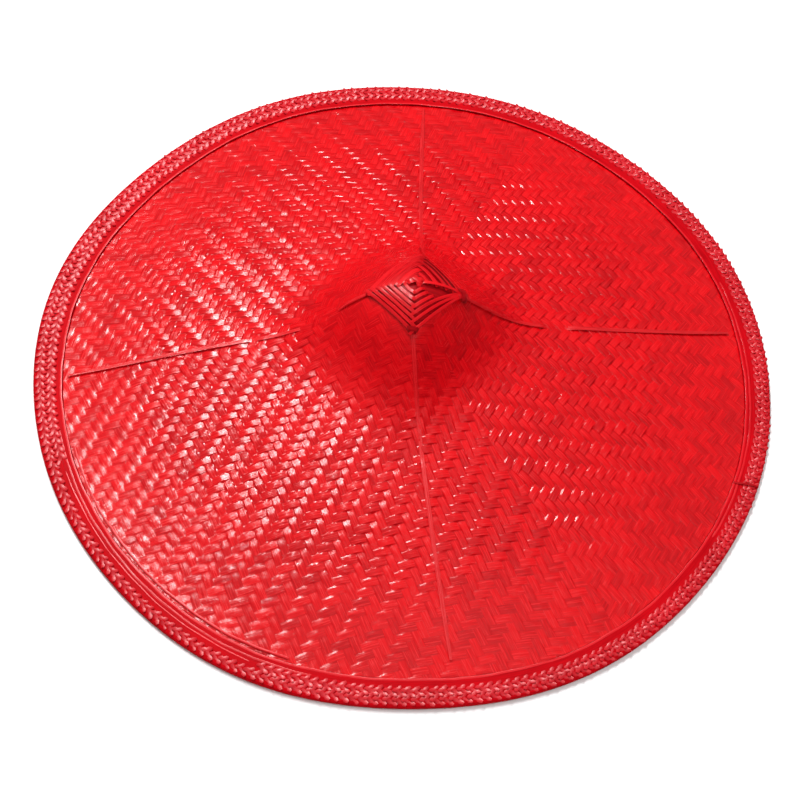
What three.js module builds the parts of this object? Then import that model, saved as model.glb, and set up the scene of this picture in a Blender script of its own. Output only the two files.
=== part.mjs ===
// A wide conical hat plaited from bamboo splints and lacquered red: one plaited sheet for the
// crown and brim, a braid bound over its edge, four splints laid along the creases of the
// crown and out over the brim, and a four-cornered cap of folded splints on the top.
// Millimetres, +Z up, the front towards -Y, the origin on the floor under the crown.
import * as THREE from 'three';

// The plaited sheet
const RIM_RADIUS = 210;
const WALL = 1.8;
const EDGE_HEIGHT = 2.8;
const RIM_SLOPE = 0.13;
const BRIM_SLOPE = 0.262;
const BEND_RADIUS = 189;
const BEND_BLEND = 10;
const CROWN_ROW_PITCH = 6;
const CROWN_ROWS = 15;
const BRIM_ROWS = [105, 135, 165, 180, 190, 198];

// The crown: a bell with four soft creases, its faces pulled in between them
const CROWN_HEIGHT = 31;
const CROWN_RADIUS = 46;
const CROWN_POWER = 2.9;
const TIP_ROUNDING = 6;
const FACE_PULL = 0.25;
const CREASE_SOFTNESS = 0.12;
const CREASES_DEG = [10, 85, 187, 279];

// The braid over the edge. Insets are distances in from the rim, lifts are over the sheet.
const BRAID_WIDTH = 17.7;
const BRAID_UNDER_WIDTH = 16.7;
const BRAID_THICKNESS = 1.6;
const BRAID_SWELL = 0.2;
const SHEET_INSET = 3.5;
const BRAID_FOOT = { from: 3, to: 6 };
const BRAID_ROLL = [
  { inset: 0.8, lift: -2.8 },
  { inset: 0, lift: -0.9 },
  { inset: 1.2, lift: 0.5 },
  { inset: 3.4, lift: 1.7 },
];
const BRAID_WAVES = [
  { count: 1, reach: 1.9, peakDeg: 122 },
  { count: 3, reach: 0.85, peakDeg: 32 },
];

// The cap of folded splints: its corners in plan, and how far the side from each corner to
// the next one swells outwards
const CAP_THICKNESS = 2.4;
const CAP_EDGE_THICKNESS = 1.5;
const CAP_KNOT = 1.2;
const CAP_KNOT_SHARE = 0.12;
const CAP_ROWS = [0.25, 0.45, 0.65, 0.85];
const CAP_CENTRE = [2.4, 1.5];
const CAP_CORNERS = [
  { name: 'right', plan: [28.5, 4.5], swell: 0.8 },
  { name: 'back', plan: [5.6, 34.0], swell: 0.8 },
  { name: 'left', plan: [-22.4, -2.4], swell: 2.0 },
  { name: 'front', plan: [3.0, -24.0], swell: 2.0 },
];

// The splints on the creases: one from each corner of the cap to a tip near the braid, with
// the distance that its middle bows to the left of the straight way
const RIB_WIDTH = 2.8;
const RIB_THICKNESS = 1.1;
const RIB_TAPER_LENGTH = 22;
const RIB_TIP_SHARE = 0.25;
const RIB_CLEARANCE = 0.5;
const RIBS = [
  { corner: 'right', tip: [184.5, 40.5], bow: -1.2 },
  { corner: 'back', tip: [-1.7, 189.5], bow: 1.1 },
  { corner: 'left', tip: [-187.5, -27.2], bow: -1.9 },
  { corner: 'front', tip: [37.5, -181.0], bow: -0.8 },
];

// The rim isn't a true circle: slow waves in its radius, as a hand-bent edge has
const RIM_WAVES = [
  { count: 1, reach: 0.65, peakDeg: -45 },
  { count: 5, reach: 0.65, peakDeg: 27 },
  { count: 6, reach: 0.4, peakDeg: 2.5 },
  { count: 8, reach: 0.4, peakDeg: -16 },
];

const GAP = 0.3;
const SLOPE_STEP = 0.05;
const TURN_STEPS = 64;
const CAP_STEPS = 32;
const RIB_STEPS = 26;
const FULL_TURN = 2 * Math.PI;

const softPositive = (value, blend) => (value + Math.hypot(value, blend)) / 2;

// Sum of cosine waves round the hat, each given by its count, reach and peak
function waveSum(waves, azimuth) {
  return waves.reduce((sum, wave) => {
    const peak = THREE.MathUtils.degToRad(wave.peakDeg);
    return sum + wave.reach * Math.cos(wave.count * (azimuth - peak));
  }, 0);
}

// How far a direction is from the nearest crease: 0 on a crease, about 1 in mid face
function faceDip(azimuth) {
  const first = CREASES_DEG[0];
  const past = THREE.MathUtils.radToDeg(azimuth) - first;
  const degrees = first + THREE.MathUtils.euclideanModulo(past, 360);
  const turns = [...CREASES_DEG, first + 360];
  const face = turns.findIndex((turn, k) => k > 0 && degrees <= turn);
  const share = (degrees - turns[face - 1]) / (turns[face] - turns[face - 1]);
  return Math.hypot(Math.sin(Math.PI * share), CREASE_SOFTNESS) - CREASE_SOFTNESS;
}

// Height of the plaited sheet's outer side above the floor
function sheetHeight(x, y) {
  const radius = Math.hypot(x, y);
  const rounded = Math.hypot(radius, TIP_ROUNDING);
  const bend = (BRIM_SLOPE - RIM_SLOPE) * softPositive(BEND_RADIUS - rounded, BEND_BLEND);
  const brim = EDGE_HEIGHT + RIM_SLOPE * (RIM_RADIUS - rounded) + bend;
  const reach = radius * (1 + FACE_PULL * faceDip(Math.atan2(y, x)));
  return brim + CROWN_HEIGHT * Math.exp(-((reach / CROWN_RADIUS) ** CROWN_POWER));
}

// The point that lies a lift above the sheet's outer side, square to it
function pointOverSheet(x, y, lift) {
  const step = SLOPE_STEP;
  const slopeX = (sheetHeight(x + step, y) - sheetHeight(x - step, y)) / (2 * step);
  const slopeY = (sheetHeight(x, y + step) - sheetHeight(x, y - step)) / (2 * step);
  const out = new THREE.Vector3(-slopeX, -slopeY, 1).normalize();
  return new THREE.Vector3(x, y, sheetHeight(x, y)).addScaledVector(out, lift);
}

// The hand-bent edge: a point moves out or in with the waves, more the nearer it is to the rim
function bentByHand(point) {
  const radius = Math.hypot(point.x, point.y);
  const share = THREE.MathUtils.smoothstep(radius, RIM_RADIUS / 2, RIM_RADIUS);
  const shift = share * waveSum(RIM_WAVES, Math.atan2(point.y, point.x));
  const scale = radius > 0 ? 1 + shift / radius : 1;
  return new THREE.Vector3(point.x * scale, point.y * scale, point.z);
}

// Bends a flat blank over the hat: its x and y are the plan, its z the lift above the sheet
function drape(blank, toPlan = (point) => point) {
  const position = blank.attributes.position;
  const point = new THREE.Vector3();
  for (let i = 0; i < position.count; i += 1) {
    const plan = toPlan(point.fromBufferAttribute(position, i));
    const bent = bentByHand(pointOverSheet(plan.x, plan.y, plan.z));
    position.setXYZ(i, bent.x, bent.y, Math.max(bent.z, 0));
  }
  blank.computeVertexNormals();
  return blank;
}

// A ring or disc blank turned from [radius, lift] points that run anticlockwise
function turned(section, steps) {
  const points = section.map(([radius, lift]) => new THREE.Vector2(radius, lift));
  return new THREE.LatheGeometry(points, steps).rotateX(Math.PI / 2);
}

// Radii of the sheet's rows: close on the crown, wide on the straight brim
function sheetRadii() {
  const crownRows = Array.from({ length: CROWN_ROWS }, (_, k) => CROWN_ROW_PITCH * k);
  return [...crownRows, ...BRIM_ROWS, RIM_RADIUS - SHEET_INSET];
}

function hatShell() {
  const radii = sheetRadii();
  const inside = radii.map((radius) => [radius, -WALL]);
  const outside = radii.map((radius) => [radius, 0]).reverse();
  return drape(turned([...inside, ...outside], TURN_STEPS));
}

// The braid's section as [inset, lift] points: its slot, its foot, its roll and its top
function braidSection() {
  const top = GAP + BRAID_THICKNESS;
  const under = -WALL - GAP;
  const bottom = under - BRAID_THICKNESS;
  const slotEnd = SHEET_INSET - GAP;
  return [
    [BRAID_WIDTH, GAP], [slotEnd, GAP], [slotEnd, under], [BRAID_UNDER_WIDTH, under],
    [BRAID_UNDER_WIDTH, bottom],
    [BRAID_FOOT.to, bottom - BRAID_SWELL], [BRAID_FOOT.from, bottom - BRAID_SWELL],
    ...BRAID_ROLL.map(({ inset, lift }) => [inset, lift]),
    [BRAID_WIDTH / 2, top + BRAID_SWELL], [BRAID_WIDTH - BRAID_THICKNESS, top],
    [BRAID_WIDTH, top - BRAID_SWELL], [BRAID_WIDTH, GAP],
  ];
}

function edgeBraid() {
  const section = braidSection().map(([inset, lift]) => [RIM_RADIUS - inset, lift]);
  const toPlan = (point) => {
    const azimuth = Math.atan2(point.y, point.x);
    const inset = RIM_RADIUS - Math.hypot(point.x, point.y);
    const share = THREE.MathUtils.smoothstep(inset, SHEET_INSET, BRAID_UNDER_WIDTH);
    const radius = RIM_RADIUS - inset - share * waveSum(BRAID_WAVES, azimuth);
    return new THREE.Vector3(radius * Math.cos(azimuth), radius * Math.sin(azimuth), point.z);
  };
  return drape(turned(section, TURN_STEPS), toPlan);
}

// A flat splint along its own path, narrowed to a point at the tip
function rib({ corner, tip, bow }) {
  const capCorner = new THREE.Vector2(...CAP_CORNERS.find((row) => row.name === corner).plan);
  const path = new THREE.Vector2(...tip).sub(capCorner);
  const along = path.clone().normalize();
  const length = path.length() - RIB_CLEARANCE;
  const start = capCorner.addScaledVector(along, RIB_CLEARANCE);
  const across = new THREE.Vector2(-along.y, along.x);
  const blank = new THREE.BoxGeometry(length, RIB_WIDTH, RIB_THICKNESS, RIB_STEPS, 2, 1);
  const toPlan = (point) => {
    const reach = point.x + length / 2;
    const left = (length - reach) / RIB_TAPER_LENGTH;
    const taper = THREE.MathUtils.clamp(left, RIB_TIP_SHARE, 1);
    const side = point.y * taper + bow * Math.sin((Math.PI * reach) / length);
    const lift = GAP + ((point.z + RIB_THICKNESS / 2) * (1 + taper)) / 2;
    const plan = start.clone().addScaledVector(along, reach).addScaledVector(across, side);
    return new THREE.Vector3(plan.x, plan.y, lift);
  };
  return drape(blank, toPlan);
}

// A unit disc stretched to the cap's four corners and its swelling sides
function stretchToCorners(point) {
  const share = Math.hypot(point.x, point.y);
  const turn = THREE.MathUtils.euclideanModulo(Math.atan2(point.y, point.x), FULL_TURN);
  const quarter = (turn / FULL_TURN) * CAP_CORNERS.length;
  const side = Math.floor(quarter) % CAP_CORNERS.length;
  const along = quarter - Math.floor(quarter);
  const from = new THREE.Vector2(...CAP_CORNERS[side].plan);
  const to = new THREE.Vector2(...CAP_CORNERS[(side + 1) % CAP_CORNERS.length].plan);
  const outwards = new THREE.Vector2(to.y - from.y, from.x - to.x).normalize();
  const swell = CAP_CORNERS[side].swell * Math.sin(Math.PI * along);
  const edge = from.lerp(to, along).addScaledVector(outwards, swell);
  const plan = new THREE.Vector2(...CAP_CENTRE).lerp(edge, share);
  return new THREE.Vector3(plan.x, plan.y, point.z);
}

function crownCap() {
  const top = GAP + CAP_THICKNESS;
  const under = [0, ...CAP_ROWS, 1].map((share) => [share, GAP]);
  const over = CAP_ROWS.map((share) => [share, top]).reverse();
  const knot = [[CAP_KNOT_SHARE, top + CAP_KNOT], [0, top + CAP_KNOT]];
  const section = [...under, [1, GAP + CAP_EDGE_THICKNESS], ...over, ...knot];
  return drape(turned(section, CAP_STEPS), stretchToCorners);
}

function piece(name, geometry, colour, roughness) {
  const material = new THREE.MeshStandardMaterial({ color: colour, roughness, metalness: 0 });
  const mesh = new THREE.Mesh(geometry, material);
  mesh.name = name;
  return mesh;
}

const hat = new THREE.Group();
hat.add(piece('hat_shell', hatShell(), 0xcf1219, 0.35));
hat.add(piece('edge_braid', edgeBraid(), 0xc4222c, 0.3));
RIBS.forEach((row) => hat.add(piece(`rib_${row.corner}`, rib(row), 0xb3141c, 0.35)));
hat.add(piece('crown_cap', crownCap(), 0xc8141c, 0.35));

export default hat;
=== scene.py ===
"""A wide conical hat plaited from bamboo splints and lacquered red, resting on its rim."""

import math

import bpy
import numpy as np
from mathutils import Matrix, Vector


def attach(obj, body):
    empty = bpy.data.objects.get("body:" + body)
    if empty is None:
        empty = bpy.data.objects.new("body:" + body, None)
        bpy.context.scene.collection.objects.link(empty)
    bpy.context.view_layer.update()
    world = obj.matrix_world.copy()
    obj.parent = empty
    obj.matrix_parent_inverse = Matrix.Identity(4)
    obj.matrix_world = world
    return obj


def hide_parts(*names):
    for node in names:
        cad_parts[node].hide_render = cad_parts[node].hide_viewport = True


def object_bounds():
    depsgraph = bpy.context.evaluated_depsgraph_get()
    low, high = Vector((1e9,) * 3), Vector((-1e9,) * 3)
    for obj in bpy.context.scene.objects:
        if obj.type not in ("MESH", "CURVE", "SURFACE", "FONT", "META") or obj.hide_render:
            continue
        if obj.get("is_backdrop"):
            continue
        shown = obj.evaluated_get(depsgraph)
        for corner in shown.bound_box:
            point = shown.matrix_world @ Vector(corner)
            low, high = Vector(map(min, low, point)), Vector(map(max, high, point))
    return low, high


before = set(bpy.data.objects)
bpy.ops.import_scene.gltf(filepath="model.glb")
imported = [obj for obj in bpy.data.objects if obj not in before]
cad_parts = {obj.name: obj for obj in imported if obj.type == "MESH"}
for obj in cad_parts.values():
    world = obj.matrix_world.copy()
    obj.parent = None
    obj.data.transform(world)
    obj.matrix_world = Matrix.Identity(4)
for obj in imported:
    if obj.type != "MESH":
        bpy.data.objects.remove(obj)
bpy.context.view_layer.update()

# The plaited sheet. Flat splints split and pared from bamboo, plaited two over and two under
# in three sectors that meet under the cap, then pressed over a form: a low brim, and a crown
# with four soft creases. The whole hat is dipped in red lacquer.
MM = 0.001
RIM_RADIUS = 210.0
EDGE_HEIGHT = 2.8
RIM_SLOPE = 0.13
BRIM_SLOPE = 0.262
BEND_RADIUS = 189.0
BEND_BLEND = 10.0
CROWN_HEIGHT = 31.0
CROWN_RADIUS = 46.0
CROWN_POWER = 2.9
TIP_ROUNDING = 6.0
FACE_PULL = 0.25
CREASE_SOFTNESS = 0.12
CREASES_DEG = (10.0, 85.0, 187.0, 279.0)
# Slow waves in the rim's radius, as count round the hat, reach, and degrees of a peak
RIM_WAVES = ((1, 0.65, -45.0), (5, 0.65, 27.0), (6, 0.4, 2.5), (8, 0.4, -16.0))

SECTOR_EDGES_DEG = (69.0, 189.0, 309.0)
SECTOR_NAMES = ("left", "front", "back")
SPLINT_PITCH = 4.88
SPLINT_LEAN_DEG = 8.0
# The directions square to a sector's two families of splints, from the sector's first edge
FAMILY_TURNS_DEG = (30 - SPLINT_LEAN_DEG, 90 + SPLINT_LEAN_DEG)
# The splints of each family that a sector is made from, counted from the hat's middle
SPLINT_NUMBERS = range(-8, 48)
# The crossing that the first float of each family is centred on, for each sector
FLOAT_STARTS = ((0, 3), (3, 0), (0, 3))
# Lifts over the middle of the sheet, in mm: of a float's middle, of a splint's face over its
# own middle, how much lower the face is at its sides, and how deep the joints are
FLOAT_LIFT = 0.66
SPLINT_FACE = 0.36
SPLINT_CROWNING = 0.07
JOINT_DEPTH = 0.07
# How loosely a float lies: the least share of its lift, how much more it may have, and how
# much it may tip to one side
FLOAT_SLACK = 0.74
FLOAT_SLACK_SPREAD = 0.52
FLOAT_TIP = 0.36
# Numbers that keep the chances of a float's tip and of a splint's tint apart from the rest
TIP_SEED = 9
TINT_SEED = 5
# The shares of the lift that are left on the crown and near the rim, and the ways from the
# hat's middle over which each one changes
CROWN_LIFT_SHARE = 0.22
CROWN_LIFT_ENDS = (45, 88)
RIM_LIFT_SHARE = 0.42
RIM_LIFT_STARTS = (140, 190)
# How far the sheet's middle lies under its outer side, how far in from the rim the plaiting
# ends, and how wide the change from one sector to the next is, in mm
SHEET_DEPTH = 0.9
SHEET_END = 9.0
EDGE_BLEND = 2.6
# How far the splints drift in slow and in fine waves, in mm, and where this sets in
DRIFT = 0.9
FINE_DRIFT = 0.5
DRIFT_STARTS = (20, 60)
# Where the mesh is parted across each splint, as shares of its width, with fewer places from
# the splint OUTER_FROM outwards
STATIONS = (0.0, 0.12, 0.37, 0.63, 0.88)
OUTER_STATIONS = (0.0, 0.14, 0.5, 0.86)
OUTER_FROM = 28
SHEET_SHARP_DEG = 14
# The lacquer: how fast its fibres change along a splint, across it and from one splint to the
# next, how coarsely it pools and how fine its runs are
FIBRE_SCALES = (60.0, 2.7, 40.0)
POOLING_SCALE = 26.0
RUNS_SCALE = 210.0
# What each adds to the tint, and the tints with the deepest and the brightest colour
FIBRE_TINT = 1.1
POOLING_TINT = 0.4
SPLINT_TINT = 0.25
DEEPEST_AT = 0.6
BRIGHTEST_AT = 1.0
# How much darker a joint is, and how far the fibres lower and raise the roughness
JOINT_SHADE = 0.18
SMOOTHER = -0.04
ROUGHER = 0.14
# The most that a splint's fibres are shifted along it, in metres, so that no two look alike
FIBRE_SHIFT = 9
# Large unlike numbers that make the chance of two like places differ
CHANCE_WEIGHTS = (12.99, 78.23, 37.72)
CHANCE_STRETCH = 43758.5


def wave_sum(waves, azimuth):
    return sum(reach * np.cos(count * (azimuth - math.radians(peak))) for count, reach, peak in waves)


def smooth_share(value, low, high):
    share = np.clip((value - low) / (high - low), 0, 1)
    return share * share * (3 - 2 * share)


def face_dip(azimuth):
    """How far a direction is from the nearest crease: 0 on a crease, about 1 in mid face."""
    turns = np.array([*CREASES_DEG, CREASES_DEG[0] + 360])
    degrees = turns[0] + np.mod(np.degrees(azimuth) - turns[0], 360)
    face = np.clip(np.searchsorted(turns, degrees) - 1, 0, 3)
    share = (degrees - turns[face]) / (turns[face + 1] - turns[face])
    return np.hypot(np.sin(np.pi * share), CREASE_SOFTNESS) - CREASE_SOFTNESS


def sheet_height(x, y):
    """Height of the sheet's outer side above the floor, in millimetres."""
    radius = np.hypot(x, y)
    rounded = np.hypot(radius, TIP_ROUNDING)
    before_bend = BEND_RADIUS - rounded
    bend = (BRIM_SLOPE - RIM_SLOPE) * (before_bend + np.hypot(before_bend, BEND_BLEND)) / 2
    brim = EDGE_HEIGHT + RIM_SLOPE * (RIM_RADIUS - rounded) + bend
    reach = radius * (1 + FACE_PULL * face_dip(np.arctan2(y, x)))
    return brim + CROWN_HEIGHT * np.exp(-((reach / CROWN_RADIUS) ** CROWN_POWER))


def over_sheet(x, y, lift):
    """Points a lift above the sheet's outer side, and the directions square to the sheet."""
    step = 0.05
    slope_x = (sheet_height(x + step, y) - sheet_height(x - step, y)) / (2 * step)
    slope_y = (sheet_height(x, y + step) - sheet_height(x, y - step)) / (2 * step)
    out = np.stack([-slope_x, -slope_y, np.ones_like(slope_x)], -1)
    out /= np.linalg.norm(out, axis=-1, keepdims=True)
    points = np.stack([x, y, sheet_height(x, y)], -1) + out * np.asarray(lift)[..., None]
    radius = np.hypot(points[..., 0], points[..., 1])
    azimuth = np.arctan2(points[..., 1], points[..., 0])
    shift = smooth_share(radius, RIM_RADIUS / 2, RIM_RADIUS) * wave_sum(RIM_WAVES, azimuth)
    points[..., :2] *= (1 + shift / np.maximum(radius, 1e-6))[..., None]
    points[..., 2] = np.maximum(points[..., 2], 0)
    return points, out


# The sheet unrolled: a radius in plan against the way along the sheet from its centre
plan_radii = np.arange(0, RIM_RADIUS + 6, 0.25)
turn = np.radians(np.arange(0, 360, 10))
plan_heights = sheet_height(plan_radii[:, None] * np.cos(turn), plan_radii[:, None] * np.sin(turn)).mean(1)
unrolled_radii = np.concatenate([[0], np.cumsum(np.hypot(np.diff(plan_radii), np.diff(plan_heights)))])


def laid_on_sheet(unrolled, lift):
    """Points of the unrolled sheet laid over the hat, with the slow unevenness of hand work."""
    reach = np.linalg.norm(unrolled, axis=-1)
    plan = unrolled * (np.interp(reach, unrolled_radii, plan_radii) / np.maximum(reach, 1e-6))[..., None]
    x, y = plan[..., 0], plan[..., 1]
    loose = smooth_share(reach, *DRIFT_STARTS)
    drift_x = DRIFT * np.sin(x / 31 + 1.3) * np.cos(y / 27 + 0.4) + FINE_DRIFT * np.sin(y / 13 - x / 19)
    drift_y = DRIFT * np.sin(y / 29 + 2.1) * np.cos(x / 33 - 0.9) + FINE_DRIFT * np.sin(x / 14 + y / 17)
    return over_sheet(x + loose * drift_x, y + loose * drift_y, lift)


def plan_to_unrolled(radius):
    return np.interp(radius, plan_radii, unrolled_radii)


def heading(degrees):
    return np.array([math.cos(math.radians(degrees)), math.sin(math.radians(degrees))])


def lift_share(reach):
    """The splints are pulled tighter on the crown and near the rim, and stand out less there."""
    return (CROWN_LIFT_SHARE + (1 - CROWN_LIFT_SHARE) * smooth_share(reach, *CROWN_LIFT_ENDS)
            - (1 - RIM_LIFT_SHARE) * smooth_share(reach, *RIM_LIFT_STARTS))


def placed(name, data):
    """A new object in the scene, at the origin."""
    piece = bpy.data.objects.new(name, data)
    bpy.context.scene.collection.objects.link(piece)
    return piece


def set_splint_values(mesh, along, across, splint, domain="POINT"):
    """What the lacquer reads: the way along and across a splint, and the splint's own tint."""
    for key, values in (("along", along), ("across", across), ("splint", splint)):
        attribute = mesh.attributes.new(key, "FLOAT", domain)
        attribute.data.foreach_set("value", np.ascontiguousarray(values, np.float32).ravel())


def add_node(tree, kind, inputs=None, **settings):
    """A new node with its settings and inputs; an input is a value, or a socket to link from."""
    node = tree.nodes.new(kind)
    for name, value in settings.items():
        setattr(node, name, value)
    for name, value in (inputs or {}).items():
        if isinstance(value, bpy.types.NodeSocket):
            tree.links.new(value, node.inputs[name])
        else:
            node.inputs[name].default_value = value
    return node


def maths(tree, operation, *values):
    node = tree.nodes.new("ShaderNodeMath")
    node.operation = operation
    for k, value in enumerate(values):
        if isinstance(value, bpy.types.NodeSocket):
            tree.links.new(value, node.inputs[k])
        else:
            node.inputs[k].default_value = value
    return node.outputs[0]


def lacquered_splint(name, deep, bright, roughness, gloss):
    """Red lacquer over bamboo: the fibres still show as fine ridges along each splint."""
    material = bpy.data.materials.new(name)
    material.use_nodes = True
    tree = material.node_tree
    shader = tree.nodes["Principled BSDF"]
    ways = [add_node(tree, "ShaderNodeAttribute", attribute_name=key).outputs["Fac"]
            for key in ("along", "across", "splint")]
    place = add_node(
        tree,
        "ShaderNodeCombineXYZ",
        {axis: maths(tree, "MULTIPLY", way, scale) for axis, way, scale in zip("XYZ", ways, FIBRE_SCALES)},
    ).outputs[0]
    fibre = add_node(
        tree, "ShaderNodeTexNoise", {"Vector": place, "Scale": 1.0, "Detail": 4.0, "Roughness": 0.65}
    ).outputs[0]
    object_place = add_node(tree, "ShaderNodeTexCoord").outputs["Object"]
    pooling = add_node(
        tree, "ShaderNodeTexNoise", {"Vector": object_place, "Scale": POOLING_SCALE, "Detail": 3.0}
    ).outputs[0]
    pooled = maths(tree, "MULTIPLY", pooling, POOLING_TINT)
    of_splint = maths(tree, "MULTIPLY", ways[2], SPLINT_TINT)
    slow = maths(tree, "ADD", pooled, of_splint)
    tint = maths(tree, "ADD", maths(tree, "MULTIPLY", fibre, FIBRE_TINT), slow)
    ramp = add_node(tree, "ShaderNodeValToRGB", {"Fac": tint})
    ramp.color_ramp.elements[0].position = DEEPEST_AT
    ramp.color_ramp.elements[0].color = (*deep, 1)
    ramp.color_ramp.elements[1].position = BRIGHTEST_AT
    ramp.color_ramp.elements[1].color = (*bright, 1)
    joint = add_node(tree, "ShaderNodeAttribute", attribute_name="joint").outputs["Fac"]
    light = maths(tree, "SUBTRACT", 1.0, maths(tree, "MULTIPLY", joint, JOINT_SHADE))
    colour = add_node(tree, "ShaderNodeVectorMath", {0: ramp.outputs[0], "Scale": light}, operation="SCALE")
    tree.links.new(colour.outputs[0], shader.inputs["Base Color"])
    rough = add_node(
        tree,
        "ShaderNodeMapRange",
        {"Value": fibre, "From Min": 0.36, "From Max": 0.66, "To Min": roughness + SMOOTHER,
         "To Max": roughness + ROUGHER},
    )
    tree.links.new(rough.outputs[0], shader.inputs["Roughness"])
    ridges = add_node(tree, "ShaderNodeBump", {"Strength": 0.3, "Distance": 0.0004, "Height": fibre})
    runs = add_node(
        tree, "ShaderNodeTexNoise", {"Vector": object_place, "Scale": RUNS_SCALE, "Detail": 2.0}
    )
    bumps = add_node(
        tree,
        "ShaderNodeBump",
        {"Strength": 0.25, "Distance": 0.0006, "Height": runs.outputs[0], "Normal": ridges.outputs[0]},
    )
    tree.links.new(bumps.outputs[0], shader.inputs["Normal"])
    shader.inputs["Specular IOR Level"].default_value = gloss
    return material


def chance_of(*numbers):
    """Chance between 0 and 1, always the same for the same numbers."""
    mixed = sum(np.asarray(number) * weight for number, weight in zip(numbers, CHANCE_WEIGHTS))
    wave = np.sin(mixed) * CHANCE_STRETCH
    return wave - np.floor(wave)


def crossings_at(sector, place):
    """Where a place on the unrolled sheet lies, counted in splints of the sector's two families."""
    edge = SECTOR_EDGES_DEG[sector]
    return [place @ heading(edge + family_turn) / SPLINT_PITCH for family_turn in FAMILY_TURNS_DEG]


def splints_at(sector, a, b):
    """The upper and the lower splint at a place between joints: lift, family and number."""
    lifts, swings, numbers = [], [], []
    for family, own, other in ((0, a, b), (1, b, a)):
        number = np.floor(own)
        phase = other - number - FLOAT_STARTS[sector][family]
        one_float = np.floor((phase + 1) / 2)
        swing = np.cos(np.pi / 2 * phase)
        across = 2 * (own - number) - 1
        kind = family + 2 * sector
        slack = FLOAT_SLACK + FLOAT_SLACK_SPREAD * chance_of(number, one_float, kind)
        tip = FLOAT_TIP * (chance_of(one_float, number, kind + TIP_SEED) - 0.5) * across
        lifts.append(FLOAT_LIFT * swing * (slack + tip))
        swings.append(swing)
        numbers.append(number)
    first = swings[0] > swings[1]
    upper = [np.where(first, *pair) for pair in (lifts, (0, 1), numbers)]
    lower = [np.where(first, *pair[::-1]) for pair in (lifts, (0, 1), numbers)]
    return upper, lower


def faces_at(sector, place):
    """Lifts of the plaiting's two faces over its middle, and how much a place is in a joint."""
    a, b = crossings_at(sector, place)
    near = 0.02
    family_code = 1000
    around = [splints_at(sector, a + x, b + y) for x in (-near, near) for y in (-near, near)]
    faces = []
    for side, out in ((0, 1), (1, -1)):
        lifts = np.mean([found[side][0] for found in around], 0)
        code = [found[side][1] * family_code + found[side][2] for found in around]
        joint = (np.max(code, 0) != np.min(code, 0)) * 1.0
        from_middle = [2 * (np.where(found[side][1] == 0, a, b) - found[side][2]) - 1 for found in around]
        face = SPLINT_FACE - SPLINT_CROWNING * np.mean(np.square(from_middle), 0) - JOINT_DEPTH * joint
        faces.append(np.stack([lifts + out * face, joint], -1))
    return np.stack(faces)


def faces_with_neighbours(sector, place):
    """The same, with each sector's relief running softly into the next one's."""
    faces = faces_at(sector, place)
    for other, inwards in (((sector + 2) % 3, heading(SECTOR_EDGES_DEG[sector] + 90)),
                           ((sector + 1) % 3, -heading(SECTOR_EDGES_DEG[sector] + 210))):
        share = 0.5 * (1 - smooth_share(place @ inwards, 0, EDGE_BLEND))[..., None]
        faces = faces * (1 - share) + faces_at(other, place) * share
    return faces


def sector_grid(sector):
    """One sector of the unrolled sheet: its corners, and the faces between them."""
    stations = np.concatenate([number + np.array(STATIONS if number < OUTER_FROM else OUTER_STATIONS)
                               for number in SPLINT_NUMBERS])
    first_turn, second_turn = (math.radians(family_turn) for family_turn in FAMILY_TURNS_DEG)
    slope = math.cos(second_turn) / math.cos(first_turn)
    # The station nearest the sector's edge, for each station of the other family
    first = np.abs(stations[:, None] * slope - stations[None]).argmin(1)
    a, b = np.meshgrid(stations, stations, indexing="ij")
    numbers = np.arange(len(stations))
    kept = ((stations[:, None] < 0) | (numbers[None] >= first[:, None]))
    kept &= ((stations[None] < 0) | (numbers[:, None] >= first[None]))
    kept &= (stations[:, None] >= 0) | (stations[None] >= 0)
    # The corners nearest an edge are moved onto it
    on_first = (stations[:, None] >= 0) & (numbers[None] == first[:, None])
    on_second = (stations[None] >= 0) & (numbers[:, None] == first[None])
    b = np.where(on_first, a * slope, b)
    a = np.where(on_second & ~on_first, stations[None] * slope, a)
    edge = SECTOR_EDGES_DEG[sector]
    square = np.linalg.inv(np.stack([heading(edge + family_turn) for family_turn in FAMILY_TURNS_DEG]))
    place = np.stack([a, b], -1).reshape(-1, 2) * SPLINT_PITCH @ square.T
    kept = kept.ravel() & (np.linalg.norm(place, axis=1) < plan_to_unrolled(RIM_RADIUS - SHEET_END))

    rows = len(stations)
    corners = (numbers[:-1, None] * rows + numbers[None, :-1]).ravel()
    cells = np.stack([corners, corners + rows, corners + rows + 1, corners + 1], 1)
    whole = kept[cells]
    cut = whole.sum(1) == 3
    halves = [[p for p, keep in zip(cell, keeps) if keep]
              for cell, keeps in zip(cells[cut].tolist(), whole[cut])]
    faces = cells[whole.all(1)].tolist() + halves
    used = np.unique([p for face in faces for p in face])
    order = np.full(len(place), -1)
    order[used] = np.arange(len(used))
    return place[used], [[int(order[p]) for p in face] for face in faces]


def show_splints(mesh, sector, place, faces, outer_count):
    """Tells the lacquer how far along and across its splint each corner of a face is."""
    at = np.empty(len(mesh.loops), np.int64)
    mesh.loops.foreach_get("vertex_index", at)
    sizes = np.array([len(face) for face in faces])
    owner = np.repeat(np.arange(len(sizes)), sizes)
    corner_a, corner_b = (values[at % len(place)] for values in crossings_at(sector, place))
    middle_a, middle_b = (np.bincount(owner, values) / sizes for values in (corner_a, corner_b))
    sides = splints_at(sector, middle_a, middle_b)
    above = np.arange(len(sizes)) < outer_count
    family = np.where(above, sides[0][1], sides[1][1])[owner]
    number = np.where(above, sides[0][2], sides[1][2])[owner]
    own = np.where(family == 0, corner_a, corner_b)
    other = np.where(family == 0, corner_b, corner_a)
    tints = chance_of(number, family, sector + TINT_SEED)
    along = other * SPLINT_PITCH * MM + FIBRE_SHIFT * tints
    set_splint_values(mesh, along, 2 * (own - number) - 1, tints, "CORNER")


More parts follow.
